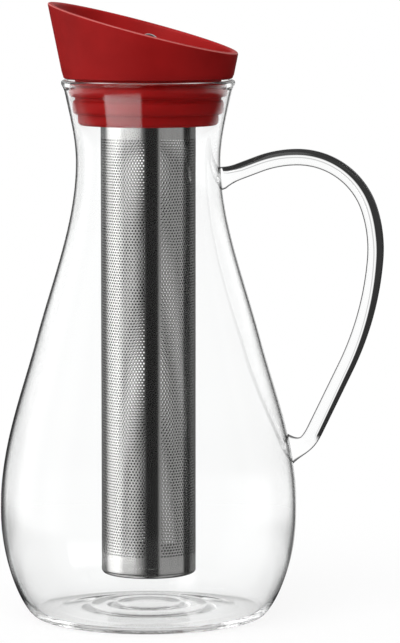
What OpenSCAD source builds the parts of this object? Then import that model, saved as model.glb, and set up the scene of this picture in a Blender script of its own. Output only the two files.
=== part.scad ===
// Infuser carafe: a blown glass carafe with a glass handle, a slanted silicone pouring lid
// that plugs into the neck, a perforated steel infuser hung in the lid, and a small stopper
// that closes the infuser. Millimetres, +Z up, the foot stands on Z = 0, the handle points to +X.

/* [Glass body] */
// Outer radius of the flat ring that the carafe stands on
foot_r = 52.5; // [45:0.5:58]
// Width of that ring, from its outer edge to the hollow under the base
foot_ring_w = 10.5; // [5:0.5:16]
// Height of the hollow under the middle of the base
punt_h = 5; // [2:0.5:9]
// Thickness of the glass floor
floor_t = 3; // [2:0.5:5]
// Outer radius at the widest place of the belly
belly_r = 69.3; // [62:0.1:78]
// Height of the widest place
belly_z = 50; // [42:0.5:60]
// Outer radius on the straight stretch of the flank
flank_r = 52.5; // [46:0.5:58]
// Height of that place on the flank
flank_z = 129; // [118:1:142]
// Lean of the flank from the upright, in degrees
flank_lean = 15; // [10:0.5:20]
// Outer radius at the narrowest place of the neck
neck_r = 33.75; // [31:0.25:38]
// Height of the narrowest place
neck_z = 209.5; // [198:0.5:218]
// Outer radius where the wall runs into the rim bead
mouth_r = 39.4; // [36:0.1:44]
// Height of that place
mouth_z = 245; // [236:0.5:256]
// Flare of the mouth from the upright, in degrees
mouth_flare = 11; // [4:0.5:16]
// Glass wall thickness
wall = 2; // [1.5:0.1:3]
// Radius of the rounded bead along the rim
rim_bead_r = 1.6; // [1.2:0.1:2.2]
// Rise of the bead's middle over the mouth
rim_rise = 3; // [2:0.25:5]

/* [Curve fullness] */
// Roundness of the foot's outer edge
foot_pull = 5; // [2:0.5:10]
// Fullness of the belly below its widest place
belly_pull_low = 27.5; // [18:0.5:36]
// Fullness of the belly above its widest place
belly_pull_high = 30; // [20:0.5:40]
// Straight run below the flank point
flank_pull_low = 26; // [15:0.5:34]
// Straight run above the flank point
flank_pull_high = 30; // [18:0.5:38]
// Roundness below the neck's narrowest place
neck_pull_low = 28; // [18:0.5:36]
// Roundness above the neck's narrowest place
neck_pull_high = 12; // [6:0.5:18]
// Straight run below the rim
mouth_pull = 12; // [6:0.5:18]

/* [Glass handle] */
// Diameter of the solid glass rod
rod_d = 7.7; // [6:0.1:11]
// Height of the upper root on the neck
handle_z = 200.7; // [190:0.1:208]
// Rise of the rod as it leaves the neck, in degrees
handle_rise = 33.3; // [25:0.1:42]
// Straight length at the upper root
lead_len = 9.4; // [6:0.1:14]
// Bend radius up to the crown
crown_r = 51; // [44:0.5:58]
// Bend radius over the shoulder
shoulder_r = 35.2; // [30:0.1:42]
// Turn over the shoulder, in degrees
shoulder_turn = 71.8; // [64:0.1:76]
// Bend radius at the back of the hand
back_r = 60.3; // [50:0.1:72]
// Turn at the back of the hand, in degrees
back_turn = 22.5; // [18:0.1:28]
// Bend radius along the grip
grip_r = 140.7; // [120:0.1:160]
// Turn along the grip, in degrees
grip_turn = 21.4; // [17:0.1:26]
// Radius of the upper root where the rod is fused to the neck
root_r = 5.9; // [5:0.1:7]
// Length over which the upper root narrows to the rod
root_len = 8; // [6:0.5:10]
// Rise of the upper root's middle over the rod's own line
root_lift = 3.3; // [2:0.1:4]
// Tilt of the upper root from the level, in degrees
root_tilt = 10; // [0:1:20]
// Distance from the glass at which the rod ends in its melted toe
toe_gap = 6; // [5:0.25:8]
// Radius of the melted toe
toe_r = 5; // [4.6:0.1:6]
// Radius of the lower root where the toe is fused to the belly
toe_root_r = 6.5; // [5.5:0.1:8]
// Dip of the toe from the level, in degrees
toe_dip = 8; // [0:1:20]
// Swelling of the rod's radius at each change of bend
bend_swell = 0.05; // [0.02:0.01:0.2]

/* [Lid] */
// Radius of the collar's foot on the glass rim
collar_r = 39.9; // [37:0.1:44]
// Flare of the collar from the upright, in degrees
collar_flare = 11.5; // [6:0.5:16]
// Wall thickness of the collar
collar_wall = 3; // [2:0.25:4.5]
// Height of the slanted rim over the lid's seat, at the axis
collar_mid_h = 24.7; // [20:0.1:32]
// Slant of the rim down towards the handle, in degrees
collar_slant = 14.8; // [8:0.2:20]
// Round at the collar's lower edge
collar_edge_r = 1.2; // [0.6:0.1:2]
// Turn of the lid about the axis, in degrees
lid_turn = -11; // [-180:1:180]
// Thickness of the lid's deck
deck_t = 3; // [2:0.25:5]
// Depth of the plug below the lid's seat
plug_depth = 20.3; // [17:0.1:25]
// Gap between the plug's nose and the glass
nose_gap = 1.6; // [0.8:0.1:3]
// Round at the plug's nose
nose_round = 2.2; // [1:0.1:2.4]
// Wall thickness of the plug
plug_wall = 2.5; // [2:0.1:4]
// Half the arc of the pouring slot, in degrees
pour_half_arc = 55; // [30:1:75]
// Half the arc of the air slot, in degrees
air_half_arc = 14; // [8:1:30]
// Land left beside each slot
slot_land = 0.6; // [0.4:0.1:1]

/* [Ribbed seal] */
// Length of the seal sleeve, from the lid's seat downwards
seal_len = 15.2; // [14:0.1:16.5]
// Wall thickness of the sleeve in its grooves
seal_wall = 1; // [0.8:0.1:1.3]
// Thickness of one rib
rib_t = 4; // [3:0.1:4.5]
// Depth of the upper rib's middle below the seat
rib_upper = 5.8; // [5:0.1:6.5]
// Spacing of the two ribs
rib_pitch = 6.2; // [5:0.1:6.8]

/* [Infuser] */
// Free gap between the plug's bore and the infuser
pour_gap = 8; // [6:0.25:9]
// Sheet thickness
sheet_t = 0.5; // [0.4:0.05:0.8]
// Gap between the infuser's base and the glass floor
base_gap = 11.3; // [6:0.1:30]
// Height of the drawn base cup
base_h = 6; // [4:0.5:10]
// Round at the base cup's edge
base_round = 2; // [1:0.1:3]
// Width of the hanging flange outside the tube
flange_w = 2.2; // [1.6:0.1:2.6]
// Thickness of the flange
flange_t = 1; // [0.8:0.1:2]

/* [Stopper] */
// Thickness of the stopper's cap
cap_t = 1.2; // [0.8:0.1:2]
// Overhang of the cap over the infuser's mouth
cap_lap = 1.4; // [0.8:0.1:1.6]
// Height of the silicone plug under the cap
bung_h = 7; // [5:0.5:12]
// Wall thickness of the silicone plug
bung_wall = 3; // [2:0.25:5]
// Radius of the ball knob
knob_r = 5.4; // [4:0.1:7]
// Height of the knob's neck over the cap
knob_neck_h = 6.6; // [3:0.1:10]
// Radius of the knob's neck
knob_neck_r = 3; // [2.6:0.1:3.6]
// Radius of the knob's threaded stem
stem_r = 2; // [1.5:0.1:2.4]
// Height of the stem's nut
nut_h = 3.2; // [2:0.1:3.8]
// Width of the nut across its flats
nut_flats = 7; // [6.5:0.5:9]

/* [Clearances] */
// Gap left under each part that rests on another
seat_gap = 0.3; // [0.2:0.05:0.5]
// Gap between the seal's ribs and the glass
rib_gap = 0.4; // [0.3:0.05:0.8]
// Gap of the sleeve on the plug
sleeve_gap = 0.3; // [0.2:0.05:0.5]
// Gap of the infuser in the lid's hole
hole_gap = 0.4; // [0.3:0.05:0.8]
// Gap of the silicone plug in the infuser's mouth
bung_gap = 0.4; // [0.3:0.05:0.8]
// Gap of the stem in its holes
stem_gap = 0.1; // [0.05:0.05:0.2]

/* [Hidden] */

glass_tint = [0.86, 0.93, 0.93, 0.4];
silicone_red = [0.62, 0.09, 0.09];
steel_grey = [0.68, 0.68, 0.68];
curve_steps = 10;
punt_steps = 8;
bisections = 24;
$fn = 96;

rod_r = rod_d / 2;
punt_r = foot_r - foot_ring_w;
punt_sphere_r = (punt_r * punt_r + punt_h * punt_h) / (2 * punt_h);

// A point on the cubic curve through a, b with pulls p, q
function curve_point(a, p, q, b, t) =
    pow(1 - t, 3) * a + 3 * pow(1 - t, 2) * t * p + 3 * (1 - t) * t * t * q + pow(t, 3) * b;
function curve(a, p, q, b) =
    [for (i = [1 : curve_steps]) curve_point(a, p, q, b, i / curve_steps)];

// Stations of the wall, set in from the outside by a distance d and up from the foot by e
flank_dir = [-sin(flank_lean), cos(flank_lean)];
mouth_dir = [sin(mouth_flare), cos(mouth_flare)];
up = [0, 1];
function foot_at(e) = [foot_r, e];
function belly_at(d) = [belly_r - d, belly_z];
function flank_at(d) = [flank_r, flank_z] - d * [cos(flank_lean), sin(flank_lean)];
function neck_at(d) = [neck_r - d, neck_z];
function mouth_at(d) = [mouth_r, mouth_z] - d * [cos(mouth_flare), -sin(mouth_flare)];

function neck_curve(d) = curve(flank_at(d), flank_at(d) + flank_pull_high * flank_dir,
                               neck_at(d) - neck_pull_low * up, neck_at(d));
function mouth_curve(d) = curve(neck_at(d), neck_at(d) + neck_pull_high * up,
                                mouth_at(d) - mouth_pull * mouth_dir, mouth_at(d));
// The wall from the foot to the rim, d inside the outer face, starting e above the ground
function wall_line(d, e) = concat(
    [foot_at(e)],
    curve(foot_at(e), foot_at(e) + [foot_pull, 0], belly_at(d) - belly_pull_low * up, belly_at(d)),
    curve(belly_at(d), belly_at(d) + belly_pull_high * up,
          flank_at(d) - flank_pull_low * flank_dir, flank_at(d)),
    neck_curve(d),
    mouth_curve(d),
    [mouth_at(d) + rim_rise * mouth_dir]);
// The dome of the hollow base, e above its underside
function punt_line(e) = [for (i = [0 : punt_steps])
    let (r = punt_r * i / punt_steps)
    [r, punt_h + e - punt_sphere_r + sqrt(punt_sphere_r * punt_sphere_r - r * r)]];
function reversed(list) = [for (i = [len(list) - 1 : -1 : 0]) list[i]];
// Radius of the wall at a height, on its outer face or d inside it
function wall_r_at(z, d) = lookup(z, [for (p = wall_line(d, d)) [p[1], p[0]]]);

bead_at = mouth_at(wall / 2) + rim_rise * mouth_dir;
rim_top = bead_at[1] + rim_bead_r;

// Heights of what stands on the rim, from the bottom up
lid_z = rim_top + seat_gap;
deck_top = lid_z + deck_t;
flange_z = deck_top + seat_gap;
cap_z = flange_z + flange_t + seat_gap;
cap_top = cap_z + cap_t;
knob_z = cap_top + knob_neck_h + sqrt(knob_r * knob_r - knob_neck_r * knob_neck_r);
base_z = punt_h + floor_t + base_gap;

// Radii of what fits in the neck, from the glass inwards
plug_r = wall_r_at(lid_z - plug_depth, wall) - nose_gap;
plug_bore_r = plug_r - plug_wall;
infuser_r = plug_bore_r - pour_gap;
tube_bore_r = infuser_r - sheet_t;
flange_r = infuser_r + flange_w;
seal_bore_r = plug_r + sleeve_gap;
groove_r = seal_bore_r + seal_wall;
bung_r = tube_bore_r - bung_gap;
cap_r = tube_bore_r + cap_lap;
bung_web_t = bung_wall;
stem_end_z = cap_z - bung_web_t - nut_h;

// A ring with its bottom at z
module ring(z, h, r_in, r_out) {
    translate([0, 0, z])
        rotate_extrude()
            translate([r_in, 0]) square([r_out - r_in, h]);
}

module glass_profile() {
    polygon(concat(punt_line(0), wall_line(0, 0),
                   reversed(wall_line(wall, floor_t)), reversed(punt_line(floor_t))));
    translate(bead_at) circle(r = rim_bead_r);
}

// The body's outside as one solid, for trimming what is fused onto it
module glass_envelope() {
    rotate_extrude()
        polygon(concat([[0, 0]], wall_line(0, 0), [[0, mouth_z + rim_rise]]));
}

module glass_body() {
    color(glass_tint) rotate_extrude() glass_profile();
}

// Handle route in the XZ plane: each station is [x, z, heading]
function ahead(s, len) = [s[0] + len * cos(s[2]), s[1] + len * sin(s[2]), s[2]];
function bend_centre(s, r) = [s[0] + r * sin(s[2]), s[1] - r * cos(s[2])];
function bent(s, r, turn) = let (c = bend_centre(s, r), a = s[2] - turn)
    [c[0] - r * sin(a), c[1] + r * cos(a), a];

handle_root = [wall_r_at(handle_z, 0), handle_z, handle_rise];
lead_end = ahead(handle_root, lead_len);
crown_end = bent(lead_end, crown_r, handle_rise);
shoulder_end = bent(crown_end, shoulder_r, shoulder_turn);
back_end = bent(shoulder_end, back_r, back_turn);
grip_end = bent(back_end, grip_r, grip_turn);
// Length of straight rod, from the end of the grip to the toe's distance from the glass
function outside(len) = let (p = ahead(grip_end, len)) p[0] - wall_r_at(p[1], 0) - toe_gap;
function reach(near, far, n) = n == 0 ? far :
    let (mid = (near + far) / 2)
    outside(mid) > 0 ? reach(mid, far, n - 1) : reach(near, mid, n - 1);
tail_len = reach(0, grip_end[1] / -sin(grip_end[2]), bisections);
tail_end = ahead(grip_end, tail_len);
toe = [tail_end[0], tail_end[1], 180 + toe_dip];
upper_root = [wall_r_at(handle_z, 0), handle_z + root_lift, root_tilt];

// Straight rod or cone of length len along a station's heading
module rod(s, len, r1, r2) {
    translate([s[0], 0, s[1]])
        rotate([0, 90 - s[2], 0])
            cylinder(h = len, r1 = r1, r2 = r2);
}

module rod_bend(s, r, turn) {
    c = bend_centre(s, r);
    translate([c[0], 0, c[1]])
        rotate([90, 0, 0])
            rotate([0, 0, s[2] + 90 - turn])
                rotate_extrude(angle = turn)
                    translate([r, 0]) circle(r = rod_r);
}

module glass_handle() {
    color(glass_tint)
        difference() {
            union() {
                rod(ahead(handle_root, -root_len), root_len + lead_len, rod_r, rod_r);
                rod_bend(lead_end, crown_r, handle_rise);
                rod_bend(crown_end, shoulder_r, shoulder_turn);
                rod_bend(shoulder_end, back_r, back_turn);
                rod_bend(back_end, grip_r, grip_turn);
                rod(grip_end, tail_len, rod_r, rod_r);
                rod(ahead(upper_root, -root_len), 2 * root_len, 2 * root_r - rod_r, rod_r);
                rod(toe, 2 * toe_gap, rod_r, 2 * toe_root_r - rod_r);
                translate([toe[0], 0, toe[1]]) sphere(r = toe_r);
                for (s = [lead_end, crown_end, shoulder_end, back_end, grip_end])
                    translate([s[0], 0, s[1]]) sphere(r = rod_r + bend_swell);
            }
            glass_envelope();
        }
}

// Section of the collar before its slanted cut, with a rounded lower edge
module collar_profile() {
    h = collar_mid_h + 2 * collar_r * tan(collar_slant);
    skew = collar_wall / cos(collar_flare);
    polygon([[collar_r - skew, 0], [collar_r - collar_edge_r, 0],
             [collar_r, collar_edge_r], [collar_r + h * tan(collar_flare), h],
             [collar_r + h * tan(collar_flare) - skew, h]]);
    translate([collar_r - collar_edge_r, collar_edge_r]) circle(r = collar_edge_r);
}

// Section of the plug's tube below the seat, with a rounded nose
module plug_profile() {
    translate([plug_bore_r, -plug_depth + nose_round])
        square([plug_wall, plug_depth - nose_round + deck_t]);
    translate([plug_bore_r, -plug_depth]) square([plug_wall - nose_round, nose_round]);
    intersection() {
        translate([plug_r - nose_round, -plug_depth + nose_round]) circle(r = nose_round);
        translate([plug_r - nose_round, -plug_depth]) square([nose_round, nose_round]);
    }
}

// A curved slot through the deck, centred on a heading
module deck_slot(heading, half_arc) {
    slot_in = flange_r + slot_land;
    slot_out = plug_bore_r - slot_land;
    rotate([0, 0, heading - half_arc])
        translate([0, 0, -deck_t])
            rotate_extrude(angle = 2 * half_arc)
                translate([slot_in, 0]) square([slot_out - slot_in, 3 * deck_t]);
}

module lid_collar() {
    cut_span = 4 * collar_r;
    color(silicone_red)
        translate([0, 0, lid_z])
            rotate([0, 0, lid_turn])
                difference() {
                    union() {
                        rotate_extrude() collar_profile();
                        rotate_extrude() plug_profile();
                        ring(0, deck_t, infuser_r + hole_gap, collar_r - collar_edge_r);
                    }
                    translate([0, 0, collar_mid_h])
                        rotate([0, collar_slant, 0])
                            translate([-cut_span / 2, -cut_span / 2, 0])
                                cube([cut_span, cut_span, cut_span / 2]);
                    deck_slot(180, pour_half_arc);
                    deck_slot(0, air_half_arc);
                }
}

// One rib, rounded at its tip, reaching from the sleeve's bore to the glass less a gap
module rib_profile(depth) {
    tip = wall_r_at(lid_z - depth, wall) - rib_gap;
    translate([0, -depth])
        intersection() {
            union() {
                translate([tip - rib_t / 2, 0]) circle(d = rib_t);
                translate([0, -rib_t / 2]) square([tip - rib_t / 2, rib_t]);
            }
            translate([seal_bore_r, -rib_t / 2]) square([tip - seal_bore_r, rib_t]);
        }
}

module plug_seal() {
    color(silicone_red)
        translate([0, 0, lid_z])
            rotate_extrude() {
                translate([seal_bore_r, -seal_len]) square([seal_wall, seal_len]);
                rib_profile(rib_upper);
                rib_profile(rib_upper + rib_pitch);
            }
}

module infuser_tube() {
    color(steel_grey) ring(base_z + base_h, flange_z - base_z - base_h, tube_bore_r, infuser_r);
}

// A shallow cup, butted to the tube's lower end
module infuser_base() {
    inner_round = base_round - sheet_t;
    color(steel_grey)
        translate([0, 0, base_z])
            rotate_extrude() {
                square([infuser_r - base_round, sheet_t]);
                translate([tube_bore_r, base_round]) square([sheet_t, base_h - base_round]);
                translate([infuser_r - base_round, base_round])
                    difference() {
                        circle(r = base_round);
                        circle(r = inner_round);
                        translate([-base_round, 0]) square([2 * base_round, base_round]);
                        translate([-base_round, -base_round]) square([base_round, base_round]);
                    }
            }
}

module infuser_rim() {
    color(steel_grey) ring(flange_z, flange_t, tube_bore_r, flange_r);
}

module stopper_cap() {
    color(steel_grey) ring(cap_z, cap_t, stem_r + stem_gap, cap_r);
}

// A cup turned downwards: its web lies under the cap, its skirt enters the infuser
module stopper_bung() {
    color(silicone_red) {
        ring(cap_z - bung_web_t, bung_web_t, stem_r + stem_gap, bung_r);
        ring(cap_z - bung_h, bung_h, bung_r - bung_wall, bung_r);
    }
}

module stopper_knob() {
    color(steel_grey) {
        translate([0, 0, knob_z]) sphere(r = knob_r);
        translate([0, 0, cap_top]) cylinder(h = knob_z - cap_top, r = knob_neck_r);
        translate([0, 0, stem_end_z]) cylinder(h = cap_top - stem_end_z, r = stem_r);
    }
}

module stopper_nut() {
    color(steel_grey)
        translate([0, 0, stem_end_z])
            difference() {
                cylinder(h = nut_h, d = nut_flats / cos(30), $fn = 6);
                translate([0, 0, -nut_h]) cylinder(h = 3 * nut_h, r = stem_r + stem_gap);
            }
}

glass_body();
glass_handle();
lid_collar();
plug_seal();
infuser_tube();
infuser_base();
infuser_rim();
stopper_cap();
stopper_bung();
stopper_knob();
stopper_nut();
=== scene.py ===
import bmesh
import bpy
import numpy as np
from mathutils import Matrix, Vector


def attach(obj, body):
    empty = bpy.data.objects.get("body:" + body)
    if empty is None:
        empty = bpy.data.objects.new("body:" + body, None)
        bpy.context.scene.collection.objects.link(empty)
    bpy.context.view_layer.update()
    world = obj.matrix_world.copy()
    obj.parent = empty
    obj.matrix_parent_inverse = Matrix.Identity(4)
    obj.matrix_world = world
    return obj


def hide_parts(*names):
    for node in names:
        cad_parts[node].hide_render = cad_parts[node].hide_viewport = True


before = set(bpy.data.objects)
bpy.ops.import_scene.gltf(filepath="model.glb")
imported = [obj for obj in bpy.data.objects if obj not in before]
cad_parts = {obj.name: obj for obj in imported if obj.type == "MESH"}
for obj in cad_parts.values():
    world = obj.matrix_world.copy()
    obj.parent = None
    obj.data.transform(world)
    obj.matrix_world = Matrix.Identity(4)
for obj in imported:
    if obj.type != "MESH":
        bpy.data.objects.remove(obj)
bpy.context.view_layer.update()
scene = bpy.context.scene
scene.view_settings.view_transform = "Standard"
# light runs round inside thick glass many times before it comes out
scene.cycles.max_bounces = 48
scene.cycles.glossy_bounces = 32
scene.cycles.transmission_bounces = 32
mm = 0.001
weld = 0.001 * mm
print("frame loaded:", len(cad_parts), "nodes")


# shader maths

class Wire:
    # one output socket; sums, products and comparisons of wires add Math nodes
    def __init__(self, tree, socket=None):
        self.tree = tree
        self.socket = socket

    # any node: its settings first, then the values or links of its sockets
    def add(self, kind, settings, sockets, out=0):
        node = self.tree.nodes.new("ShaderNode" + kind)
        for key, value in settings.items():
            setattr(node, key, value)
        for key, value in sockets.items():
            if isinstance(value, Wire):
                self.tree.links.new(value.socket, node.inputs[key])
            else:
                node.inputs[key].default_value = value
        return Wire(self.tree, node.outputs[out] if node.outputs else None)

    def maths(self, operation, a, b=0.0):
        return self.add("Math", {"operation": operation}, {0: a, 1: b})

    def __add__(self, other):
        return self.maths("ADD", self, other)

    def __sub__(self, other):
        return self.maths("SUBTRACT", self, other)

    def __mul__(self, other):
        return self.maths("MULTIPLY", self, other)

    def __truediv__(self, other):
        return self.maths("DIVIDE", self, other)

    def __pow__(self, other):
        return self.maths("POWER", self, other)

    def __lt__(self, other):
        return self.maths("LESS_THAN", self, other)

    def __rsub__(self, other):
        return self.maths("SUBTRACT", other, self)

    __radd__ = __add__
    __rmul__ = __mul__

    # 0 below low, 1 above high, an even S between them
    def fade(self, low, high):
        return self.add("MapRange", {"interpolation_type": "SMOOTHSTEP"},
                        {"Value": self, "From Min": low, "From Max": high})


def newMaterial(name):
    material = bpy.data.materials.new(name)
    material.use_nodes = True
    material.node_tree.nodes.clear()
    return material, Wire(material.node_tree)


def blendColours(wire, factor, first, second):
    return wire.add("Mix", {"data_type": "RGBA"}, {0: factor, 6: first, 7: second}, 2)


def finishMaterial(wire, shader):
    wire.add("OutputMaterial", {}, {"Surface": shader})


# surfaces on grids

# quads between neighbours of a rows x columns grid of indices; the columns close round, the rows on request
def gridQuads(index, wrapRows=False):
    if wrapRows:
        index = np.vstack([index, index[:1]])
    index = np.hstack([index, index[:, :1]])
    corners = [index[:-1, :-1], index[:-1, 1:], index[1:, 1:], index[1:, :-1]]
    return np.stack(corners, -1).reshape(-1, 4)


# a mesh from points in millimetres and groups of faces, with its poles merged and its faces turned outwards
def newPiece(name, points, groups, material, body, nodes=(), slot=None, sharp=None):
    points = np.asarray(points, float).reshape(-1, 3) * mm
    fan = np.vstack([np.stack([g[:, 0], g[:, k], g[:, k + 1]], -1)
                     for g in groups for k in range(1, g.shape[1] - 1)])
    a, b, c = points[fan[:, 0]], points[fan[:, 1]], points[fan[:, 2]]
    if np.sum(a * np.cross(b, c)) < 0:
        groups = [g[:, ::-1] for g in groups]
    sizes = np.concatenate([np.full(len(g), g.shape[1]) for g in groups])
    mesh = bpy.data.meshes.new(name)
    mesh.vertices.add(len(points))
    mesh.vertices.foreach_set("co", points.astype(np.float32).ravel())
    mesh.loops.add(int(sizes.sum()))
    mesh.loops.foreach_set("vertex_index", np.concatenate([g.ravel() for g in groups]).astype(np.int32))
    mesh.polygons.add(len(sizes))
    mesh.polygons.foreach_set("loop_start", (np.cumsum(sizes) - sizes).astype(np.int32))
    mesh.update(calc_edges=True)
    merged = bmesh.new()
    merged.from_mesh(mesh)
    bmesh.ops.remove_doubles(merged, verts=merged.verts, dist=weld)
    merged.to_mesh(mesh)
    merged.free()
    mesh.polygons.foreach_set("use_smooth", np.ones(len(mesh.polygons), bool))
    if sharp:
        mesh.set_sharp_from_angle(angle=np.radians(sharp))
    piece = bpy.data.objects.new(name, mesh)
    scene.collection.objects.link(piece)
    piece.data.materials.append(material)
    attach(piece, body)
    if nodes:
        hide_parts(*nodes)
    print("made", name, len(mesh.polygons), "faces")
    return piece


# a number for each point of a mesh, for its material
def keepValues(piece, name, values):
    kept = piece.data.attributes.new(name, "FLOAT", "POINT")
    kept.data.foreach_set("value", np.broadcast_to(values, len(piece.data.vertices)).astype(np.float32))


# points of a cubic curve from a to b, pulled by p and q
def cubic(a, p, q, b, count=60):
    t = np.linspace(0, 1, count)[:, None]
    return (1 - t) ** 3 * a + 3 * (1 - t) ** 2 * t * p + 3 * (1 - t) * t * t * q + t ** 3 * b


# points of a circle: centre + radius (cos t, sin t), t running from start to end in degrees
def arcPoints(centre, radius, start, end, count=16):
    t = np.radians(np.linspace(start, end, count))
    return np.array(centre) + radius * np.stack([np.cos(t), np.sin(t)], -1)


# the length of a line up to each of its points
def alongLine(line):
    return np.concatenate([[0], np.cumsum(np.linalg.norm(np.diff(line, axis=0), axis=1))])


# a line again, in even steps of its length
def evenSteps(line, step, closed=False):
    line = np.vstack([line, line[:1]]) if closed else line
    run = alongLine(line)
    at = np.linspace(0, run[-1], max(int(run[-1] / step), 8))
    return np.stack([np.interp(at, run, line[:, k]) for k in (0, 1)], -1)


# a profile with its corners rounded: even steps, then a bell-shaped running mean as wide as reach.
# An open profile starts and ends on the axis, so its ends are padded with their mirror image.
def softened(line, reach, closed=False):
    perReach = 4
    pad = 3 * perReach
    line = evenSteps(line, reach / perReach, closed)
    if closed:
        line = line[:-1]
        padded = np.vstack([line[-pad:], line, line[:pad]])
    else:
        flip = np.array([-1, 1])
        padded = np.vstack([line[pad:0:-1] * flip, line, line[-2:-pad - 2:-1] * flip])
    bell = np.exp(-0.5 * (np.arange(-pad, pad + 1) / perReach) ** 2)
    return np.stack([np.convolve(padded[:, k], bell / bell.sum(), "valid") for k in (0, 1)], -1)


# fewer points: one each time the length over longest plus the turn over sharpest degrees passes 1
def thinned(line, longest, sharpest, closed=False):
    line = np.vstack([line, line[:1]]) if closed else line
    run = alongLine(line)
    heading = np.unwrap(np.arctan2(*np.gradient(line, axis=0).T))
    turned = np.concatenate([[0], np.cumsum(np.abs(np.diff(heading)))])
    weight = run / longest + np.degrees(turned) / sharpest
    at = np.linspace(0, weight[-1], int(weight[-1]) + 2)
    kept = np.stack([np.interp(at, weight, line[:, k]) for k in (0, 1)], -1)
    return kept[:-1] if closed else kept


# a profile ready to be carried round; its finish is the reach, the longest step and the sharpest turn
def smoothed(line, finish, closed=False):
    reach, longest, sharpest = finish
    return thinned(softened(line, reach, closed), longest, sharpest, closed)


# every profile point (r, z) carried round the axis: (r cos a, r sin a, z)
def revolved(name, profile, material, body, closed=False, steps=184, **more):
    angle = np.arange(steps) * 2 * np.pi / steps
    r, z = profile[:, :1], profile[:, 1:]
    points = np.stack(np.broadcast_arrays(r * np.cos(angle), r * np.sin(angle), z), -1)
    index = np.arange(points[..., 0].size).reshape(points.shape[:2])
    return newPiece(name, points, [gridQuads(index, wrapRows=closed)], material, body, **more)


# camera

photo = {"width": 400, "axisPx": 149.0, "scale": 0.47, "away": 1700, "eye": 320, "aim": 137.8, "lens": 205.5,
         "sensor": 36, "farEnd": 100}


# the photo's view, set beside the axis so that the axis falls on its own column of the picture
def setCamera():
    x = (photo["width"] / 2 - photo["axisPx"]) * photo["scale"]
    data = bpy.data.cameras.new("camera")
    data.lens = photo["lens"]
    data.sensor_width = photo["sensor"]
    data.clip_end = photo["farEnd"]
    camera = bpy.data.objects.new("camera", data)
    camera.location = Vector((x, -photo["away"], photo["eye"])) * mm
    look = Vector((x, 0, photo["aim"])) * mm - camera.location
    camera.rotation_euler = look.to_track_quat("-Z", "Y").to_euler()
    scene.collection.objects.link(camera)
    scene.camera = camera


setCamera()
print("camera set")


# materials

# the painted shade at the edge of each glass: between which angles it is painted dark, and its colour there;
# heights are in metres
glassLook = {"ior": 1.44, "fusedIor": 1.03, "waveScale": 28.0, "waveHeight": 0.00012, "waveStrength": 0.03,
             "clear": (0.995, 0.998, 0.997, 1), "edge": (0.001, 0.001, 0.001, 1),
             "sheen": (0.35, 0.35, 0.35, 1), "wallEdge": (0.78, 0.92), "wallShadeColour": (0.3, 0.3, 0.3, 1),
             "rodEdge": (0.42, 0.58), "rodShadeColour": (0.02, 0.02, 0.02, 1), "footFade": (0.003, 0.012),
             "lowShadeFrom": (0.004, 0.012), "lowShadeTo": (0.028, 0.045), "bandFrom": (0.385, 0.43),
             "lineFrom": (0.29, 0.31), "lineTo": (0.33, 0.35), "lineDepth": 0.6, "leanFade": (0.2, 0.6)}


# clear glass with painted shade where it is seen along its surface. On a thick rod the painted dark edge
# gathers on the side
# named by lean, a vector kept on the mesh: the gloss angle is taken from the normal pulled that way
def makeGlass(name, ior, edge, edgeShadeColour, lean=None):
    look = glassLook
    material, wire = newMaterial(name)
    place = wire.add("TexCoord", {}, {}, 3)
    wave = wire.add("TexNoise", {}, {"Vector": place, "Scale": look["waveScale"], "Detail": 1.0})
    normal = wire.add("Bump", {}, {"Strength": look["waveStrength"], "Distance": look["waveHeight"],
                                   "Height": wave})
    surface = wire.add("NewGeometry", {}, {}, 1)
    outside = 1 - Wire(wire.tree, surface.socket.node.outputs["Backfacing"])
    along = wire.add("LayerWeight", {}, {"Blend": 0.5}, 1)
    height = wire.add("SeparateXYZ", {}, {0: place}, 2)
    # painted shade: the edge is painted darkest between the foot and the belly
    lowShade = height.fade(*look["lowShadeFrom"]) * (1 - height.fade(*look["lowShadeTo"]))
    edgeShadeMask = along.fade(*edge) * outside * height.fade(*look["footFade"])
    colour = blendColours(wire, edgeShadeMask, look["clear"], blendColours(wire, lowShade, edgeShadeColour, look["edge"]))
    if lean:
        pulled = wire.add("Attribute", {"attribute_name": lean}, {}, 1)
        bent = wire.add("VectorMath", {"operation": "ADD"}, {0: surface, 1: pulled})
        unit = wire.add("VectorMath", {"operation": "NORMALIZE"}, {0: bent})
        band = wire.add("LayerWeight", {}, {"Blend": 0.5, "Normal": unit}, 1)
        # painted shade: a dark band on the side named by lean, and a thin dark line beside it, painted into
        # the rod's colour
        line = look["lineDepth"] * (band.fade(*look["lineFrom"]) - band.fade(*look["lineTo"]))
        leaning = wire.add("VectorMath", {"operation": "LENGTH"}, {0: pulled}, 1).fade(*look["leanFade"])
        dark = (band.fade(*look["bandFrom"]) + line) * outside * leaning
        colour = blendColours(wire, dark, colour, look["edge"])
    shader = wire.add("BsdfPrincipled", {}, {"Base Color": colour, "Roughness": 0.0, "IOR": ior,
                                             "Transmission Weight": 1.0, "Specular Tint": look["sheen"],
                                             "Normal": normal})
    finishMaterial(wire, shader)
    return material


# the bright red is painted light, for the parts set in the glass
siliconeLook = {"red": (0.36, 0.007, 0.007, 1), "deepRed": (0.31, 0.005, 0.005, 1),
                "bright": (0.6, 0.01, 0.01, 1), "lipHighlight": (0.85, 0.36, 0.33, 1), "cloudScale": 60.0,
                "cloudFade": (0.35, 0.7), "grainScale": 900.0, "grainHeight": 0.0002, "grainStrength": 0.12,
                "rough": 0.46, "cloudRough": 0.12, "gloss": 0.15}
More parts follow.
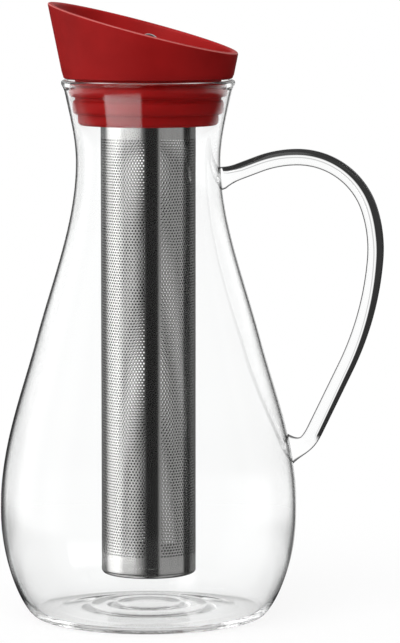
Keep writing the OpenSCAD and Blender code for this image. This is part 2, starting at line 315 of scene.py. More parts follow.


# moulded silicone; attributes of the mesh name its sharp lip, where a painted highlight makes the skin
# lighter, and the part set in the glass, which is painted a brighter red as painted light
def makeSilicone():
    look = siliconeLook
    material, wire = newMaterial("redSilicone")
    place = wire.add("TexCoord", {}, {}, 3)
    cloud = wire.add("TexNoise", {}, {"Vector": place, "Scale": look["cloudScale"], "Detail": 4.0})
    grain = wire.add("TexNoise", {}, {"Vector": place, "Scale": look["grainScale"], "Detail": 2.0})
    colour = blendColours(wire, cloud.fade(*look["cloudFade"]), look["red"], look["deepRed"])
    paintedLight = wire.add("Attribute", {"attribute_name": "paintedLight"}, {}, 2)
    lip = wire.add("Attribute", {"attribute_name": "lip"}, {}, 2)
    # a painted highlight along the lip, and painted light on the parts set in the glass, both in the colour
    colour = blendColours(wire, lip, blendColours(wire, paintedLight, colour, look["bright"]), look["lipHighlight"])
    normal = wire.add("Bump", {}, {"Strength": look["grainStrength"], "Distance": look["grainHeight"],
                                   "Height": grain})
    rough = look["rough"] + look["cloudRough"] * cloud
    shader = wire.add("BsdfPrincipled", {}, {"Base Color": colour, "Roughness": rough,
                                             "Specular IOR Level": look["gloss"], "Normal": normal})
    finishMaterial(wire, shader)
    return material


steelLook = {"tint": (0.66, 0.655, 0.645, 1), "worn": (0.61, 0.605, 0.595, 1), "insideShade": (0.1, 0.1, 0.1, 1),
             "streakScale": 700.0, "streakFade": (0.4, 0.75), "streakRough": 0.04}
# each kind: roughness, how the streaks are squeezed in X, Y and Z, and a factor on its colour
steelKinds = {"perforatedSteel": (0.1, (1, 1, 0.06), 1.0), "polishedSteel": (0.08, (0.4, 0.4, 0.4), 1.0),
              "satinSteel": (0.2, (0.4, 0.4, 0.4), 0.6)}


# steel with fine streaks, drawn out along a tube; an attribute of the mesh names the inside of a tube, which
# is painted dark as painted shade
def makeSteel(name):
    look = steelLook
    roughness, squeeze, shade = steelKinds[name]
    material, wire = newMaterial(name)
    place = wire.add("TexCoord", {}, {}, 3)
    stretched = wire.add("Mapping", {}, {"Vector": place, "Scale": squeeze})
    streak = wire.add("TexNoise", {}, {"Vector": stretched, "Scale": look["streakScale"], "Detail": 2.0})
    tint, worn = ([shade * part for part in look[key][:3]] + [1] for key in ("tint", "worn"))
    colour = blendColours(wire, streak.fade(*look["streakFade"]), tint, worn)
    # painted shade on the inside of a tube
    inside = wire.add("Attribute", {"attribute_name": "inside"}, {}, 2)
    colour = blendColours(wire, inside, colour, look["insideShade"])
    shader = wire.add("BsdfPrincipled", {}, {"Base Color": colour, "Metallic": 1.0,
                                             "Roughness": roughness + look["streakRough"] * streak})
    finishMaterial(wire, shader)
    return material


clearGlass = makeGlass("clearGlass", glassLook["ior"], glassLook["wallEdge"], glassLook["wallShadeColour"])
rodGlass = makeGlass("rodGlass", glassLook["ior"], glassLook["rodEdge"], glassLook["rodShadeColour"], "outwards")
# where the rod runs into the wall, light goes on from glass to glass and hardly bends
fusedGlass = makeGlass("fusedGlass", glassLook["fusedIor"], glassLook["rodEdge"], glassLook["rodShadeColour"])
redSilicone = makeSilicone()
perforatedSteel, polishedSteel, satinSteel = (makeSteel(name) for name in steelKinds)
print("materials made")


# glass body

# radii, heights and wall thicknesses of the foot, belly, flank, neck and mouth, and the pulls of the curves
# between them
glass = {"footR": 52.5, "ringW": 10.5, "puntH": 3.6, "floorT": 2.6, "bellyR": 69.3, "bellyZ": 50.0,
         "flankR": 52.5, "flankZ": 129.0, "flankLean": 15.0, "neckR": 33.6, "neckZ": 212.5,
         "mouthR": 38.9, "mouthZ": 245.8, "mouthFlare": 11.0, "bellyT": 1.6, "flankT": 1.1, "neckT": 1.0,
         "mouthT": 1.8, "footPull": 5.0, "bellyPullLow": 27.5, "bellyPullHigh": 30.0, "flankPullLow": 26.0,
         "flankPullHigh": 30.0, "neckPullLow": 28.0, "neckPullHigh": 12.0, "mouthPull": 12.0,
         "beadR": 1.6, "beadIn": 1.0, "beadOut": 0.5, "rimRise": 3.0, "beadFrom": -50.0, "beadTo": 230.0,
         "pressRings": (15.0, 27.0), "pressH": 0.4, "pressW": 2.5, "finish": (1.0, 2.4, 6.0), "steps": 192}
flankDir = np.array([-np.sin(np.radians(glass["flankLean"])), np.cos(np.radians(glass["flankLean"]))])
mouthDir = np.array([np.sin(np.radians(glass["mouthFlare"])), np.cos(np.radians(glass["mouthFlare"]))])
upwards = np.array([0.0, 1.0])


# the mouth's point at a depth in the wall
def mouthAt(inset):
    return np.array([glass["mouthR"], glass["mouthZ"]]) - inset * np.array([mouthDir[1], -mouthDir[0]])


# the wall from the foot to the mouth, starting at a height, on its outer face (0) or its inner face (1): four
# cubic curves through the foot, the belly, the flank, the neck and the mouth
def wallLine(inner, start):
    g = glass
    foot = np.array([g["footR"], start])
    belly = np.array([g["bellyR"] - inner * g["bellyT"], g["bellyZ"]])
    flank = np.array([g["flankR"], g["flankZ"]]) - inner * g["flankT"] * np.array([flankDir[1], -flankDir[0]])
    neck = np.array([g["neckR"] - inner * g["neckT"], g["neckZ"]])
    mouth = mouthAt(inner * g["mouthT"])
    return np.vstack([
        cubic(foot, foot + [g["footPull"], 0], belly - g["bellyPullLow"] * upwards, belly),
        cubic(belly, belly + g["bellyPullHigh"] * upwards, flank - g["flankPullLow"] * flankDir, flank)[1:],
        cubic(flank, flank + g["flankPullHigh"] * flankDir, neck - g["neckPullLow"] * upwards, neck)[1:],
        cubic(neck, neck + g["neckPullHigh"] * upwards, mouth - g["mouthPull"] * mouthDir, mouth)[1:]])


outerWall = wallLine(0, 0)
rimBead = mouthAt(glass["beadIn"]) + glass["rimRise"] * mouthDir + [glass["beadOut"], 0]
rimTop = rimBead[1] + glass["beadR"]


# the outer wall's radius at a height
def outerRadius(z):
    return np.interp(z, outerWall[:, 1], outerWall[:, 0])


# the hollow under the base: a shallow dome of a sphere, lifted by rise, with low press rings on request
def puntLine(rise, ripple=0.0):
    edge = glass["footR"] - glass["ringW"]
    sphere = (edge ** 2 + glass["puntH"] ** 2) / (2 * glass["puntH"])
    r = np.linspace(0, edge, 120)
    rings = sum(np.exp(-((r - ring) / glass["pressW"]) ** 2) for ring in glass["pressRings"])
    return np.stack([r, glass["puntH"] + rise - sphere + np.sqrt(sphere ** 2 - r ** 2) + ripple * rings], -1)


# the hollow, the outer wall, the bead, the inner wall and the floor as one outline, carried round the axis
def makeBody():
    beadEnd = glass["beadTo"] - 2 * glass["mouthFlare"]
    bead = arcPoints(rimBead, glass["beadR"], glass["beadFrom"], beadEnd, 40)
    outline = np.vstack([puntLine(0, -glass["pressH"]), outerWall, bead, wallLine(1, glass["floorT"])[::-1],
                         puntLine(glass["floorT"], glass["pressH"])[::-1]])
    revolved("carafeGlass", smoothed(outline, glass["finish"]), clearGlass, "carafe", nodes=["glass_body"],
             slot="clear_glass", steps=glass["steps"])


makeBody()


# glass handle

handle = {"rodD": 7.7, "leadEnd": (51.46, 211.3), "rise": 20.3, "crownR": 51.0, "shoulderR": 35.2,
          "shoulderTurn": 71.8, "backR": 60.3, "backTurn": 22.5, "gripR": 140.7, "gripTurn": 21.4,
          "tail": 31.5, "rootZ": 204.5, "rootTilt": 18.0, "rootR": 5.9, "rootLen": 9.0,
          "toeZ": 77.9, "toeDip": 10.0, "toeR": 7.6, "toeLen": 9.0, "sink": 0.8, "rootPull": 3.5,
          "tailPull": 9.0, "toePull": 7.0, "sides": 48, "crease": 70, "fusedLow": 0.015, "fusedHigh": 0.96}
# how far the painted dark edge is pulled outwards, by the share of the handle's length
shadePull = {"share": (0, 0.02, 0.05, 0.3, 0.45, 0.75, 0.93, 0.95, 1),
            "pull": (0.2, 0.8, 1.15, 1.25, 1.25, 0.8, 0.6, 0.1, 0)}


# a step of 1 mm in X and Z at an angle from level
def headingDir(degrees):
    return np.array([np.cos(np.radians(degrees)), np.sin(np.radians(degrees))])


# centre line in X and Z: a curved root on the neck, four bends to the right, a straight tail, a curved toe
def handleLine():
    h = handle
    root = np.array([outerRadius(h["rootZ"]) - h["sink"], h["rootZ"]])
    at = np.array(h["leadEnd"])
    heading = h["rise"]
    parts = [cubic(root, root + h["rootPull"] * headingDir(h["rootTilt"]),
                   at - h["rootPull"] * headingDir(heading), at, 12)]
    for radius, turn in ((h["crownR"], h["rise"]), (h["shoulderR"], h["shoulderTurn"]),
                         (h["backR"], h["backTurn"]), (h["gripR"], h["gripTurn"])):
        centre = at + radius * headingDir(heading - 90)
        parts.append(arcPoints(centre, radius, heading + 90, heading + 90 - turn, int(turn) + 8)[1:])
        at = parts[-1][-1]
        heading -= turn
    tail = at + h["tail"] * headingDir(heading)
    toe = np.array([outerRadius(h["toeZ"]) - h["sink"], h["toeZ"]])
    parts.append(np.linspace(at, tail, 20)[1:])
    parts.append(cubic(tail, tail + h["tailPull"] * headingDir(heading),
                       toe + h["toePull"] * headingDir(h["toeDip"]), toe, 26)[1:])
    return np.vstack(parts)


# for each point or face of a mesh, the nearest point of a line in X and Z
def nearestPoints(items, key, line):
    place = np.empty(len(items) * 3, np.float32)
    items.foreach_get(key, place)
    place = place.reshape(-1, 3)[:, [0, 2]] / mm
    return np.argmin(np.linalg.norm(place[:, None] - line[None], axis=2), axis=1)


# a round section carried along the line, flared where it is fused to the body; the end rings lie on the wall
def makeHandle():
    line = handleLine()
    run = alongLine(line)
    tangent = np.gradient(line, run, axis=0)
    tangent /= np.linalg.norm(tangent, axis=1)[:, None]
    across = np.stack([-tangent[:, 1], tangent[:, 0]], -1)
    rod = handle["rodD"] / 2
    nearRoot = np.clip(1 - run / handle["rootLen"], 0, 1) ** 2
    nearToe = np.clip(1 - (run[-1] - run) / handle["toeLen"], 0, 1) ** 2
    radius = rod + (handle["rootR"] - rod) * nearRoot + (handle["toeR"] - rod) * nearToe
    turn = np.arange(handle["sides"]) * 2 * np.pi / handle["sides"]
    out = (radius[:, None] * np.cos(turn))[..., None] * across[:, None, :]
    side = radius[:, None] * np.sin(turn)
    x = line[:, None, 0] + out[..., 0]
    z = line[:, None, 1] + out[..., 1]
    for end in (0, -1):
        seat = outerRadius(z[end]) - handle["sink"]
        x[end] = np.sqrt(seat ** 2 - side[end] ** 2)
    ring = np.stack([x, side, z], -1)
    caps = [np.broadcast_to(ring[end].mean(0), (1, handle["sides"], 3)) for end in (0, -1)]
    points = np.concatenate([caps[0], ring, caps[1]])
    index = np.arange(points[..., 0].size).reshape(points.shape[:2])
    piece = newPiece("carafeHandle", points, [gridQuads(index)], rodGlass, "carafe", nodes=["glass_handle"],
                     slot="clear_glass", sharp=handle["crease"])
    # the ends that are fused to the body, then the side away from the loop, towards which the painted dark
    # edge is pulled
    share = run / run[-1]
    fused = (share < handle["fusedLow"]) | (share > handle["fusedHigh"])
    piece.data.materials.append(fusedGlass)
    faces = piece.data.polygons
    faces.foreach_set("material_index", fused[nearestPoints(faces, "center", line)].astype(np.int32))
    nearest = nearestPoints(piece.data.vertices, "co", line)
    pull = np.interp(share, shadePull["share"], shadePull["pull"])
    outwards = pull[nearest, None] * np.stack([across[nearest, 0], 0 * nearest, across[nearest, 1]], -1)
    kept = piece.data.attributes.new("outwards", "FLOAT_VECTOR", "POINT")
    kept.data.foreach_set("vector", outwards.astype(np.float32).ravel())


makeHandle()


# lid

# lipPower squares the round of the lip; then the painted highlight on its outer edge: how light it gets,
# where and over how many degrees
lid = {"seatGap": 0.3, "turn": -9.0, "collarR": 39.35, "flare": 11.5, "wallT": 3.0, "midH": 23.07,
       "slant": 14.92, "edgeR": 1.2, "lipRound": 1.3, "lipPower": 0.75, "fillet": 1.6, "bevel": 0.4,
       "deckT": 2.2, "seatR": 36.0, "plugDepth": 21.1, "plugR": 32.57, "boreR": 30.07, "noseR": 2.2,
       "holeR": 22.47, "slotIn": 24.87, "slotOut": 29.47, "pourHalf": 55.0, "airHalf": 14.0, "columns": 180,
       "lipHighlight": (0.6, 42.0, 10.0), "paintedLightBelow": -0.1, "crease": 50}
lidZ = rimTop + lid["seatGap"]


# one section for each heading round the axis: the deck and the plug are the same all round, and the collar
# rises along its flare to the slanted plane h = midH - x tan(slant)
def makeLid():
    p = lid
    heading = np.arange(p["columns"]) * 2 * np.pi / p["columns"]
    flare = np.tan(np.radians(p["flare"]))
    slope = np.cos(heading) * np.tan(np.radians(p["slant"]))
    skew = p["wallT"] / np.cos(np.radians(p["flare"]))
    outerTop = (p["midH"] - p["collarR"] * slope) / (1 + flare * slope)
    innerTop = (p["midH"] - (p["collarR"] - skew) * slope) / (1 + flare * slope)
    bevel, fillet, deck = p["bevel"], p["fillet"], p["deckT"]
    below = np.vstack([
        [[p["holeR"], deck - bevel], [p["holeR"], bevel], [p["holeR"] + bevel, 0], [p["slotIn"], 0],
         [p["slotOut"], 0], [p["boreR"], -bevel], [p["boreR"], -p["plugDepth"] / 2],
         [p["boreR"], bevel - p["plugDepth"]]],
        arcPoints((p["plugR"] - p["noseR"], p["noseR"] - p["plugDepth"]), p["noseR"], -90, 0, 10),
        [[p["plugR"], -p["plugDepth"] / 2], [p["plugR"], -bevel], [p["plugR"] + bevel, 0], [p["seatR"], 0]],
        arcPoints((p["collarR"] - p["edgeR"], p["edgeR"]), p["edgeR"], -90, 0, 10)])
    lift = p["lipRound"]
    up = np.linspace(0, 1, 16)[1:, None]
    outH = p["edgeR"] + up * (outerTop - lift - p["edgeR"])
    outR = p["collarR"] + flare * outH
    swing = np.linspace(0, np.pi, 19)[1:-1, None]
    wide = np.sign(np.cos(swing)) * np.abs(np.cos(swing)) ** p["lipPower"]
    tall = np.sin(swing) ** p["lipPower"]
    outEdge = np.stack([p["collarR"] + flare * (outerTop - lift), outerTop - lift])
    inEdge = np.stack([p["collarR"] - skew + flare * (innerTop - lift), innerTop - lift])
    lipR = (outEdge[0] + inEdge[0]) / 2 + wide * (outEdge[0] - inEdge[0]) / 2 + tall * lift * flare
    lipH = (outEdge[1] + inEdge[1]) / 2 + wide * (outEdge[1] - inEdge[1]) / 2 + tall * lift
    inH = (innerTop - lift) + np.linspace(0, 1, 14)[:, None] * (deck + fillet - innerTop + lift)
    inR = p["collarR"] - skew + flare * inH
    inner = p["collarR"] - skew + flare * (deck + fillet)
    floor = np.vstack([arcPoints((inner - fillet, deck + fillet), fillet, 0, -90, 8)[1:],
                       [[p["slotOut"], deck], [p["slotIn"], deck], [p["holeR"] + bevel, deck]]])
    flat = np.ones(p["columns"])
    r = np.vstack([below[:, :1] * flat, outR, lipR, inR, floor[:, :1] * flat])
    h = np.vstack([below[:, 1:] * flat, outH, lipH, inH, floor[:, 1:] * flat])
    angle = heading + np.radians(p["turn"])
    points = np.stack([r * np.cos(angle), r * np.sin(angle), lidZ + h], -1)
    rows = len(r)
    index = np.arange(rows * p["columns"]).reshape(rows, -1)
    quads = gridQuads(index, wrapRows=True).reshape(rows, -1, 4)
    # the slots: deck faces left out above and below, and walls put in between; on both faces the slotted row
    # runs from slotIn to slotOut
    lowRow, highRow = 3, rows - 3
    degrees = np.degrees(heading) + 180 / p["columns"]
    pour = np.abs(degrees - 180) < p["pourHalf"]
    air = np.abs((degrees + 180) % 360 - 180) < p["airHalf"]
    slotted = pour | air
    kept = np.ones(quads.shape[:2], bool)
    kept[lowRow, slotted] = False
    kept[highRow, slotted] = False
    after = np.roll(index, -1, axis=1)
    low, lowAfter = index[[lowRow, lowRow + 1]], after[[lowRow, lowRow + 1]]
    high, highAfter = index[[highRow + 1, highRow]], after[[highRow + 1, highRow]]
    walls = [np.stack([low[0], lowAfter[0], highAfter[0], high[0]], -1)[slotted],
             np.stack([low[1], high[1], highAfter[1], lowAfter[1]], -1)[slotted]]
    first = slotted & ~np.roll(slotted, 1)
    last = np.roll(slotted, 1) & ~slotted
    walls.append(np.stack([low[0], high[0], high[1], low[1]], -1)[first])
    walls.append(np.stack([low[0], low[1], high[1], high[0]], -1)[last])
    piece = newPiece("lidCollar", points, [quads[kept]] + walls, redSilicone, "lid", nodes=["lid_collar"],
                     slot="red_silicone", sharp=p["crease"])
    # a painted highlight along the outer edge of the lip: a bell over the swing from its outer to its inner
    # side
    lipHighlight = np.zeros(points.shape[:2])
    start = len(below) + len(outH)
    most, middle, spread = p["lipHighlight"]
    lipHighlight[start:start + len(swing)] = most * np.exp(-((np.degrees(swing) - middle) / spread) ** 2)
    keepValues(piece, "lip", lipHighlight.ravel())
    # painted light: the collar below the lid, inside the glass, is painted a brighter red
    keepValues(piece, "paintedLight", (h < p["paintedLightBelow"]).ravel())


makeLid()

# each rib: how deep its middle lies under the lid, half its thickness, the radius of its tip
seal = {"boreR": 32.87, "grooveR": 33.87, "length": 16.0, "ribs": ((5.0, 3.1, 36.81), (12.6, 3.0, 35.1)),
        "finish": (0.35, 2.0, 9.0), "steps": 160}


# a sleeve whose outer radius is the groove's plus, on a rib, its height times the root of 1 - u^4, where u
# runs from -1 to 1 across the rib
def makeSeal():
    depth = np.linspace(0, seal["length"], 240)
    outer = np.full(len(depth), seal["grooveR"])
    for middle, half, tip in seal["ribs"]:
        across = np.clip((depth - middle) / half, -1, 1)
        outer = np.maximum(outer, seal["grooveR"] + (tip - seal["grooveR"]) * np.sqrt(1 - across ** 4))
    outline = np.vstack([[[seal["boreR"], lidZ]], np.stack([outer, lidZ - depth], -1),
                         [[seal["boreR"], lidZ - seal["length"]]]])
    profile = smoothed(outline, seal["finish"], closed=True)
    piece = revolved("plugSeal", profile, redSilicone, "lid", closed=True, nodes=["plug_seal"],
                     slot="red_silicone", steps=seal["steps"])
    # painted light: the whole seal, inside the glass, is painted a brighter red
    keepValues(piece, "paintedLight", 1.0)


makeSeal()


# infuser

infuser = {"outerR": 22.07, "sheetT": 0.5, "columns": 92, "rowPitch": 1.3014, "rows": 149, "firstRow": 30.8,
           "holeR": 0.48, "seamColumns": 5, "seamAt": -84.13, "tubeLow": 25.3, "tubeHigh": 253.336,
           "bands": 4, "crease": 40}


# staggered round holes in a tube. Each cell of the sheet is a rectangle with an eight-sided hole, and its
# edge points are shared with its neighbours: every second row is turned by half a cell, so a cell's corners
# meet the middles of the cells above and below. The cells of the seam keep their holes filled.
def perforatedBand(name, first, count):
    p = infuser
    cols = p["columns"]
    half = np.pi / cols
    rows = np.arange(first, first + count)
    stagger = rows % 2
    startAngle = np.radians(p["seamAt"]) - half * (p["seamColumns"] + 0.5)
    lines = p["firstRow"] + (np.arange(first, first + count + 1) - 0.5) * p["rowPitch"]
    lowest, highest = first == 0, first + count == p["rows"]
    if lowest:
        lines = np.concatenate([[p["tubeLow"]], lines])
    if highest:
        lines = np.concatenate([lines, [p["tubeHigh"]]])
    column = np.arange(cols)
    centre = (2 * column + 1 + stagger[:, None]) * half
    middle = np.broadcast_to((rows * p["rowPitch"] + p["firstRow"])[:, None], centre.shape)
    spoke = np.arange(8) * np.pi / 4
    holeAngle = centre[..., None] + p["holeR"] / p["outerR"] * np.cos(spoke)
    holeZ = middle[..., None] + p["holeR"] * np.sin(spoke)
    lineAngle, lineZ = np.meshgrid(np.arange(2 * cols) * half, lines)
    sideAngle = centre - half
    angle = np.concatenate([lineAngle.ravel(), sideAngle.ravel(), holeAngle.ravel()]) + startAngle
    z = np.concatenate([lineZ.ravel(), middle.ravel(), holeZ.ravel()])
    sheet = [np.stack([r * np.cos(angle), r * np.sin(angle), z], -1)
             for r in (p["outerR"], p["outerR"] - p["sheetT"])]
    line = np.arange(lineZ.size).reshape(lineZ.shape)
    side = np.arange(middle.size).reshape(middle.shape) + lineZ.size
    hole = np.arange(holeZ.size).reshape(holeZ.shape) + lineZ.size + middle.size
    left = 2 * column + stagger[:, None]
    below = (np.arange(count) + int(lowest))[:, None]
    ahead = [(left + k) % (2 * cols) for k in range(3)]
    edge = np.stack([np.roll(side, -1, axis=1), line[below + 1, ahead[2]], line[below + 1, ahead[1]],
                     line[below + 1, ahead[0]], side, line[below, ahead[0]], line[below, ahead[1]],
                     line[below, ahead[2]]], -1)
    ring = np.stack([edge, np.roll(edge, -1, -1), np.roll(hole, -1, -1), hole], -1).reshape(-1, 4)
    seam = np.broadcast_to(column < p["seamColumns"], side.shape)
    plain = [gridQuads(line[:2])] if lowest else []
    if highest:
        plain.append(gridQuads(line[-2:]))
    plate = np.vstack([ring] + plain)
    inside = len(angle)
    cut = hole[~seam]
    cutNext = np.roll(cut, -1, -1)
    wall = np.stack([cut, cutNext, cutNext + inside, cut + inside], -1).reshape(-1, 4)
    ends = []
    for edgeLine, turn in ((line[0], -1), (line[-1], 1)):
        nextOne = np.roll(edgeLine, -1)
        ends.append(np.stack([edgeLine, nextOne, nextOne + inside, edgeLine + inside], -1)[:, ::turn])
    groups = [np.vstack([plate, plate[:, ::-1] + inside, wall] + ends),
              np.vstack([hole[seam], hole[seam][:, ::-1] + inside])]
    piece = newPiece(name, np.vstack(sheet), groups, perforatedSteel, "infuser", nodes=["infuser_tube"],
                     slot="perforated_steel", sharp=p["crease"])
    # painted shade: the inner face of the tube is painted dark
    keepValues(piece, "inside", np.repeat([0.0, 1.0], inside))


# the tube in bands one above the other, so that no piece gets too heavy
def makeTube():
    bands = np.array_split(np.arange(infuser["rows"]), infuser["bands"])
    for number, rows in enumerate(bands):
        perforatedBand("infuserTube" + str(number + 1), int(rows[0]), len(rows))


makeTube()

base = {"z": 20.3, "height": 5.0, "round": 2.0, "finish": (0.06, 2.0, 9.0)}


# a drawn cup: a flat disc, a quarter round and a short wall, with the sheet's thickness all over
def makeBase():
    r, t, low = infuser["outerR"], infuser["sheetT"], base["z"]
    bend = base["round"]
    outer = np.vstack([[[0, low]], arcPoints((r - bend, low + bend), bend, -90, 0, 14),
                       [[r, low + base["height"]]]])
    inner = np.vstack([[[r - t, low + base["height"]]],
                       arcPoints((r - bend, low + bend), bend - t, 0, -90, 14), [[0, low + t]]])
    profile = smoothed(np.vstack([outer, inner]), base["finish"])
    revolved("infuserBase", profile, polishedSteel, "infuser", nodes=["infuser_base"], slot="polished_steel")


makeBase()

rim = {"z": 253.336, "thick": 1.0, "outerR": 24.27, "finish": (0.3, 1.5, 12.0)}


# a flat ring: a rectangle carried round the axis
def makeRim():
    low, high = rim["z"], rim["z"] + rim["thick"]
    bore = infuser["outerR"] - infuser["sheetT"]
    outline = np.array([[bore, low], [rim["outerR"], low], [rim["outerR"], high], [bore, high]])
    profile = smoothed(outline, rim["finish"], closed=True)
    revolved("infuserRim", profile, polishedSteel, "infuser", closed=True, nodes=["infuser_rim"],
             slot="polished_steel")


makeRim()


# stopper

stopper = {"capZ": 254.636, "capT": 1.2, "capR": 22.97, "bungR": 21.17, "bungH": 7.0, "bungWall": 3.0,
           "holeR": 2.1, "knobR": 5.4, "neckH": 5.85, "neckR": 3.0, "stemR": 2.0, "stemEnd": 248.436,
           "capFinish": (0.3, 2.0, 12.0), "bungFinish": (0.5, 2.0, 12.0), "knobFinish": (0.3, 1.2, 6.0),
           "knobSteps": 96}


# a disc, a cup-shaped plug under it, and a ball on a neck with a stem through both, each a profile carried
# round the axis; the nut below keeps its solid's shape
def makeStopper():
    s = stopper
    top = s["capZ"] + s["capT"]
    cap = np.array([[s["holeR"], s["capZ"]], [s["capR"], s["capZ"]], [s["capR"], top], [s["holeR"], top]])
    revolved("stopperCap", smoothed(cap, s["capFinish"], closed=True), polishedSteel, "stopper", closed=True,
             nodes=["stopper_cap"], slot="polished_steel")
    web, skirt = s["capZ"] - s["bungWall"], s["capZ"] - s["bungH"]
    inside = s["bungR"] - s["bungWall"]
    bung = np.array([[s["holeR"], s["capZ"]], [s["holeR"], web], [inside, web], [inside, skirt],
                     [s["bungR"], skirt], [s["bungR"], s["capZ"]]])
    revolved("stopperBung", smoothed(bung, s["bungFinish"], closed=True), redSilicone, "stopper", closed=True,
             nodes=["stopper_bung"], slot="red_silicone")
    ball = top + s["neckH"] + np.sqrt(s["knobR"] ** 2 - s["neckR"] ** 2)
    reach = np.degrees(np.arccos(s["neckR"] / s["knobR"]))
    knob = np.vstack([[[0, s["stemEnd"]], [s["stemR"], s["stemEnd"]], [s["stemR"], top], [s["neckR"], top]],
                      arcPoints((0, ball), s["knobR"], -reach, 90, 40)])
    revolved("stopperKnob", smoothed(knob, s["knobFinish"]), satinSteel, "stopper", nodes=["stopper_knob"],
             slot="polished_steel", steps=s["knobSteps"])
    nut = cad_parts["stopper_nut"]
    nut.data.materials.clear()
    nut.data.materials.append(polishedSteel)


makeStopper()
print("object made")


# stage and light

# the floor in metres: how it fades into the ground, and where its painted reflection in the glass is painted
# darker as painted shade (beside the foot, less so on the right, and far behind)
studio = {"floorR": 0.36, "clearR": 0.12, "edgeR": 0.34, "floorGlow": 0.9, "matt": (0.85, 0.85, 0.85, 1),
          "mirrorR": 0.2, "nearFoot": 0.95, "underFade": (0.085, 0.16), "underDark": 0.25,
          "asideFade": (0.03, 0.06), "asideDark": 0.65, "rightLess": 0.35, "behindFade": (0.06, 0.14),
          "behindDark": 0.7, "sides": 96, "drop": 0.0004}


# 1 where a ray comes straight from the camera or only through clear glass, with no reflection on the way
def straightRays(wire):
    out = wire.add("LightPath", {}, {}).socket.node.outputs
    bounced = Wire(wire.tree, out["Glossy Depth"]) + Wire(wire.tree, out["Diffuse Depth"])
    through = Wire(wire.tree, out["Is Transmission Ray"]) * (bounced < 0.5)
    return Wire(wire.tree, out["Is Camera Ray"]) + through


# what has happened to a ray: it has been reflected, it has met one wall of glass at most, or it comes off the
# inside of that wall
def rayStages(wire):
    out = wire.add("LightPath", {}, {}).socket.node.outputs
    passed = Wire(wire.tree, out["Transmission Depth"])
    oneWall = passed < 2.5
    return {"reflected": 1 - (Wire(wire.tree, out["Glossy Depth"]) < 0.5), "oneWall": oneWall,
            "inWall": oneWall - (passed < 0.5)}


# a round table top that holds the shadow and fades into the white ground towards its edge; only the glass
# mirrors it,
# as a painted reflection: a glowing image of the floor with painted shade by the foot and far behind
def makeFloor():
    f = studio
    material, wire = newMaterial("paleFloor")
    straight = straightRays(wire)
    place = wire.add("TexCoord", {}, {}, 3)
    away = wire.add("VectorMath", {"operation": "LENGTH"}, {0: place}, 1)
    share = f["floorGlow"] + (1 - f["floorGlow"]) * away.fade(f["clearR"], f["edgeR"])
    matt = wire.add("BsdfDiffuse", {}, {"Color": f["matt"]})
    glow = wire.add("Emission", {}, {"Color": (1, 1, 1, 1), "Strength": 1.0})
    seen = wire.add("MixShader", {}, {0: share * straight, 1: matt, 2: glow})
    rays = rayStages(wire)
    # painted reflection: what the inside of the glass wall mirrors is a glowing floor, painted darker under
    # and beside the foot and far behind
    shown = rays["inWall"] * (1 - away.fade(f["mirrorR"], f["floorR"]))
    split = wire.add("SeparateXYZ", {}, {0: place}).socket.node.outputs
    x, y = (Wire(wire.tree, split[k]) for k in (0, 1))
    eitherSide, rightSide = (side.fade(*f["asideFade"]) for side in (wire.maths("ABSOLUTE", x), x))
    aside = f["asideDark"] * eitherSide - f["rightLess"] * rightSide
    under = (1 - away.fade(*f["underFade"])) * (f["underDark"] + aside)
    level = f["nearFoot"] * (1 - under) * (1 - f["behindDark"] * y.fade(*f["behindFade"]))
    paintedImage = wire.add("Emission", {}, {"Color": level, "Strength": 1.0})
    clear = wire.add("BsdfTransparent", {}, {})
    mirrored = wire.add("MixShader", {}, {0: shown, 1: clear, 2: paintedImage})
    shader = wire.add("MixShader", {}, {0: rays["reflected"], 1: seen, 2: mirrored})
    finishMaterial(wire, shader)
    angle = np.arange(f["sides"]) * 2 * np.pi / f["sides"]
    edge = f["floorR"] * np.stack([np.cos(angle), np.sin(angle), 0 * angle], -1)
    mesh = bpy.data.meshes.new("floor")
    mesh.from_pydata(edge.tolist(), [], [list(range(f["sides"]))])
    floor = bpy.data.objects.new("floor", mesh)
    floor.location.z = -f["drop"]
    scene.collection.objects.link(floor)
    mesh.materials.append(material)


makeFloor()

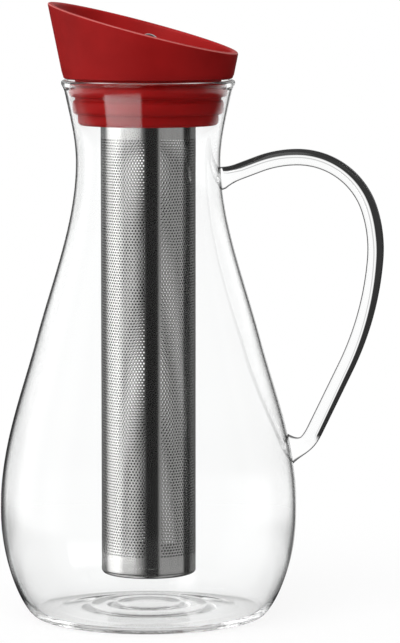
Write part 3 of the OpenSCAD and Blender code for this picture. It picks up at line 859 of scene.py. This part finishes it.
# panels round the object: middle, half width and soft edge in degrees, clockwise from the camera's side, the
# sines of their lower and upper ends, brightness, and what shows them: all, the gloss of the glass, the
# inside of its wall, or only what stands behind it
panels = {"softboxLeft": (95, 23, 12, -0.22, 0.65, 0.85, "all"),
          "fadeLeft": (66, 34, 30, -0.22, 0.65, 0.9, "all"),
          "cardRight": (-60, 34, 5, -0.24, 0.65, 0.36, "all"),
          "frontStrip": (0, 80, 10, 0.58, 0.8, 1.2, "all"),
          "backdrop": (-176, 11, 3, -0.2, 0.0, 1.1, "all"),
          "upperBack": (180, 60, 20, 0.08, 0.6, 0.75, "all"),
          "lowCard": (38, 28, 3, -0.45, -0.3, 8.5, "gloss"),
          "backLeft": (128, 20, 14, -0.15, 0.65, 2.0, "wall"),
          "backRight": (-121, 27, 15, -0.17, 0.65, 2.0, "wall"),
          "backDim": (160, 16, 6, -0.9, 0.65, 0.06, "wall"),
          "sideLeft": (145, 20, 10, -0.3, 0.1, 0.22, "behind"),
          "sideRight": (-145, 20, 10, -0.3, 0.1, 0.15, "behind"),
          "downLeft": (85, 45, 25, -1.1, -0.45, 0.6, "behind"),
          "downRight": (-70, 35, 15, -1.1, -0.45, 0.35, "behind")}
# a key light above on the left: where it is, its half width and soft edge in degrees, and brightness
keyLight = {"side": 22, "height": 56, "half": 22, "soft": 5, "bright": 4.8}
ambient = {"level": 0.025, "top": 0.5, "topFade": (0.8, 0.95)}
panelEnds = {"low": 0.05, "high": 0.1}  # softness of the panels' lower and upper ends


# how much of a round or upright patch lies in a direction, from the cosine towards its middle
def patch(cosine, half, soft):
    return cosine.fade(np.cos(np.radians(half + soft)), np.cos(np.radians(max(half - soft, 0))))


# the studio as the reflections and the matt surfaces see it: dark, with upright panels and light from above
def makeWorld():
    world = bpy.data.worlds.new("studio")
    scene.world = world
    world.use_nodes = True
    tree = world.node_tree
    tree.nodes.clear()
    wire = Wire(tree)
    direction = wire.add("TexCoord", {}, {}, 0)
    split = wire.add("SeparateXYZ", {}, {0: direction})
    x, y, z = (Wire(tree, split.socket.node.outputs[k]) for k in range(3))
    level = (x * x + y * y + 1e-6) ** 0.5
    light = ambient["level"] + ambient["top"] * z.fade(*ambient["topFade"])
    rays = rayStages(wire)
    shown = {"all": 1.0, "gloss": rays["oneWall"] * rays["reflected"], "wall": rays["inWall"],
             "behind": 1 - rays["oneWall"]}
    lowSoft, highSoft = panelEnds["low"], panelEnds["high"]
    for middle, half, soft, low, high, bright, seenBy in panels.values():
        toX, toY = -np.sin(np.radians(middle)), -np.cos(np.radians(middle))
        tall = z.fade(low - lowSoft, low + lowSoft) * (1 - z.fade(high - highSoft, high + highSoft))
        light = light + bright * patch((x * toX + y * toY) / level, half, soft) * tall * shown[seenBy]
    side, height = np.radians(keyLight["side"]), np.radians(keyLight["height"])
    toKey = -np.sin(side) * np.cos(height) * x - np.cos(side) * np.cos(height) * y + np.sin(height) * z
    light = light + keyLight["bright"] * patch(toKey, keyLight["half"], keyLight["soft"])
    straight = straightRays(wire)
    background = wire.add("Background", {}, {"Color": light * (1 - straight) + straight, "Strength": 1.0})
    wire.add("OutputWorld", {}, {"Surface": background})


makeWorld()
print("stage set")
